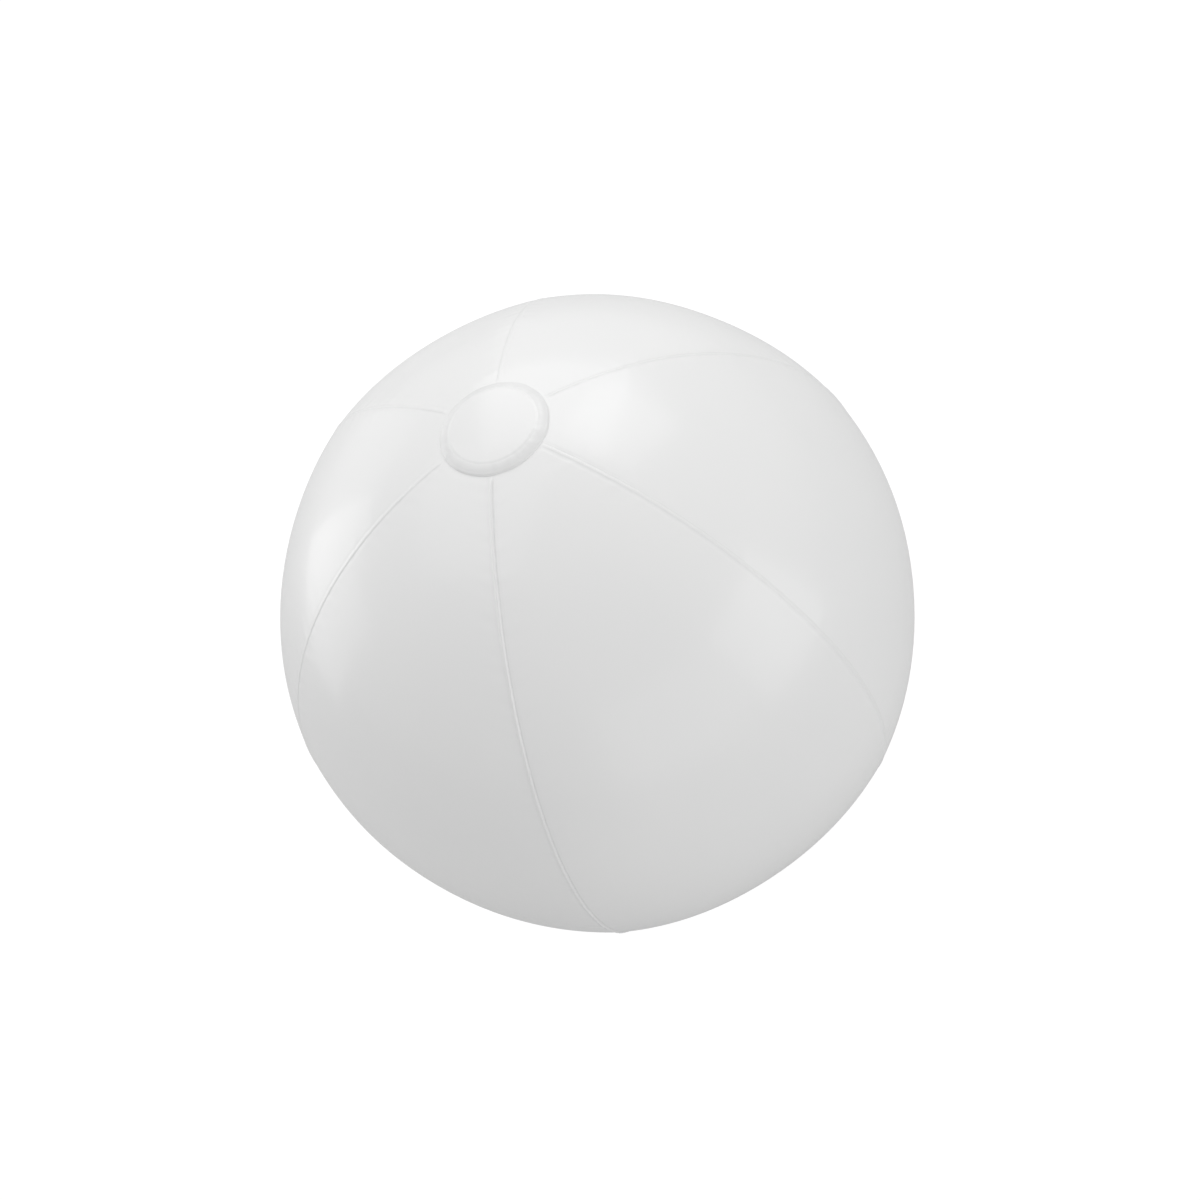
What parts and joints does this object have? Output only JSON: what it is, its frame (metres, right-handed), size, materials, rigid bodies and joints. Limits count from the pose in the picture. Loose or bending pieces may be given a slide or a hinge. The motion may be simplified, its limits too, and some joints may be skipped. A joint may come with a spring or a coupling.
{
  "type": "inflatable beach ball",
  "caption": "White inflatable vinyl beach ball of welded gores with a weld disc at each pole and a push-in air valve.",
  "frame": {"origin": "centre of the inflated ball", "axes": "+Z along the pole axis, up through the top disc; +X through a seam; the valve is in the gore centred on +Y, towards the base disc"},
  "size_m": [0.2822, 0.2788, 0.2829],
  "materials": {
    "gore_film": "satin",
    "disc_film": "satin",
    "valve_vinyl": "satin",
    "plug_vinyl": "gloss",
    "flap_vinyl": "satin"
  },
  "bodies": {
    "ball_skin": {"gore_panel_1": "gore_film", "gore_panel_2": "gore_film", "gore_panel_3": "gore_film", "gore_panel_4": "gore_film", "gore_panel_5": "gore_film", "gore_panel_6": "gore_film", "top_pole_disc": "disc_film", "base_pole_disc": "disc_film", "valve_flange": "valve_vinyl", "valve_web": "valve_vinyl"},
    "valve_stem": {"valve_stem": "valve_vinyl", "plug_tether": "valve_vinyl"},
    "valve_plug": {"valve_plug": "plug_vinyl"},
    "check_flap": {"check_flap": "flap_vinyl"}
  },
  "joints": [
    {"name": "valve_push", "type": "slide", "parent": "ball_skin", "child": "valve_stem", "axis": [0, 0.6428, -0.766], "range_m": [0, 0.012], "deforming": ["valve_web"]},
    {"name": "plug_pull", "type": "slide", "parent": "valve_stem", "child": "valve_plug", "axis": [0, 0.6428, -0.766], "range_m": [0, 0.007], "deforming": ["plug_tether"]},
    {"name": "flap_swing", "type": "hinge", "parent": "valve_stem", "child": "check_flap", "pos_m": [0, 0.08525, -0.09506], "axis": [-1, 0, 0], "range_deg": [0, 50], "stiffness_Nm_per_rad": 0.0001, "springref_deg": -5.73}
  ]
}
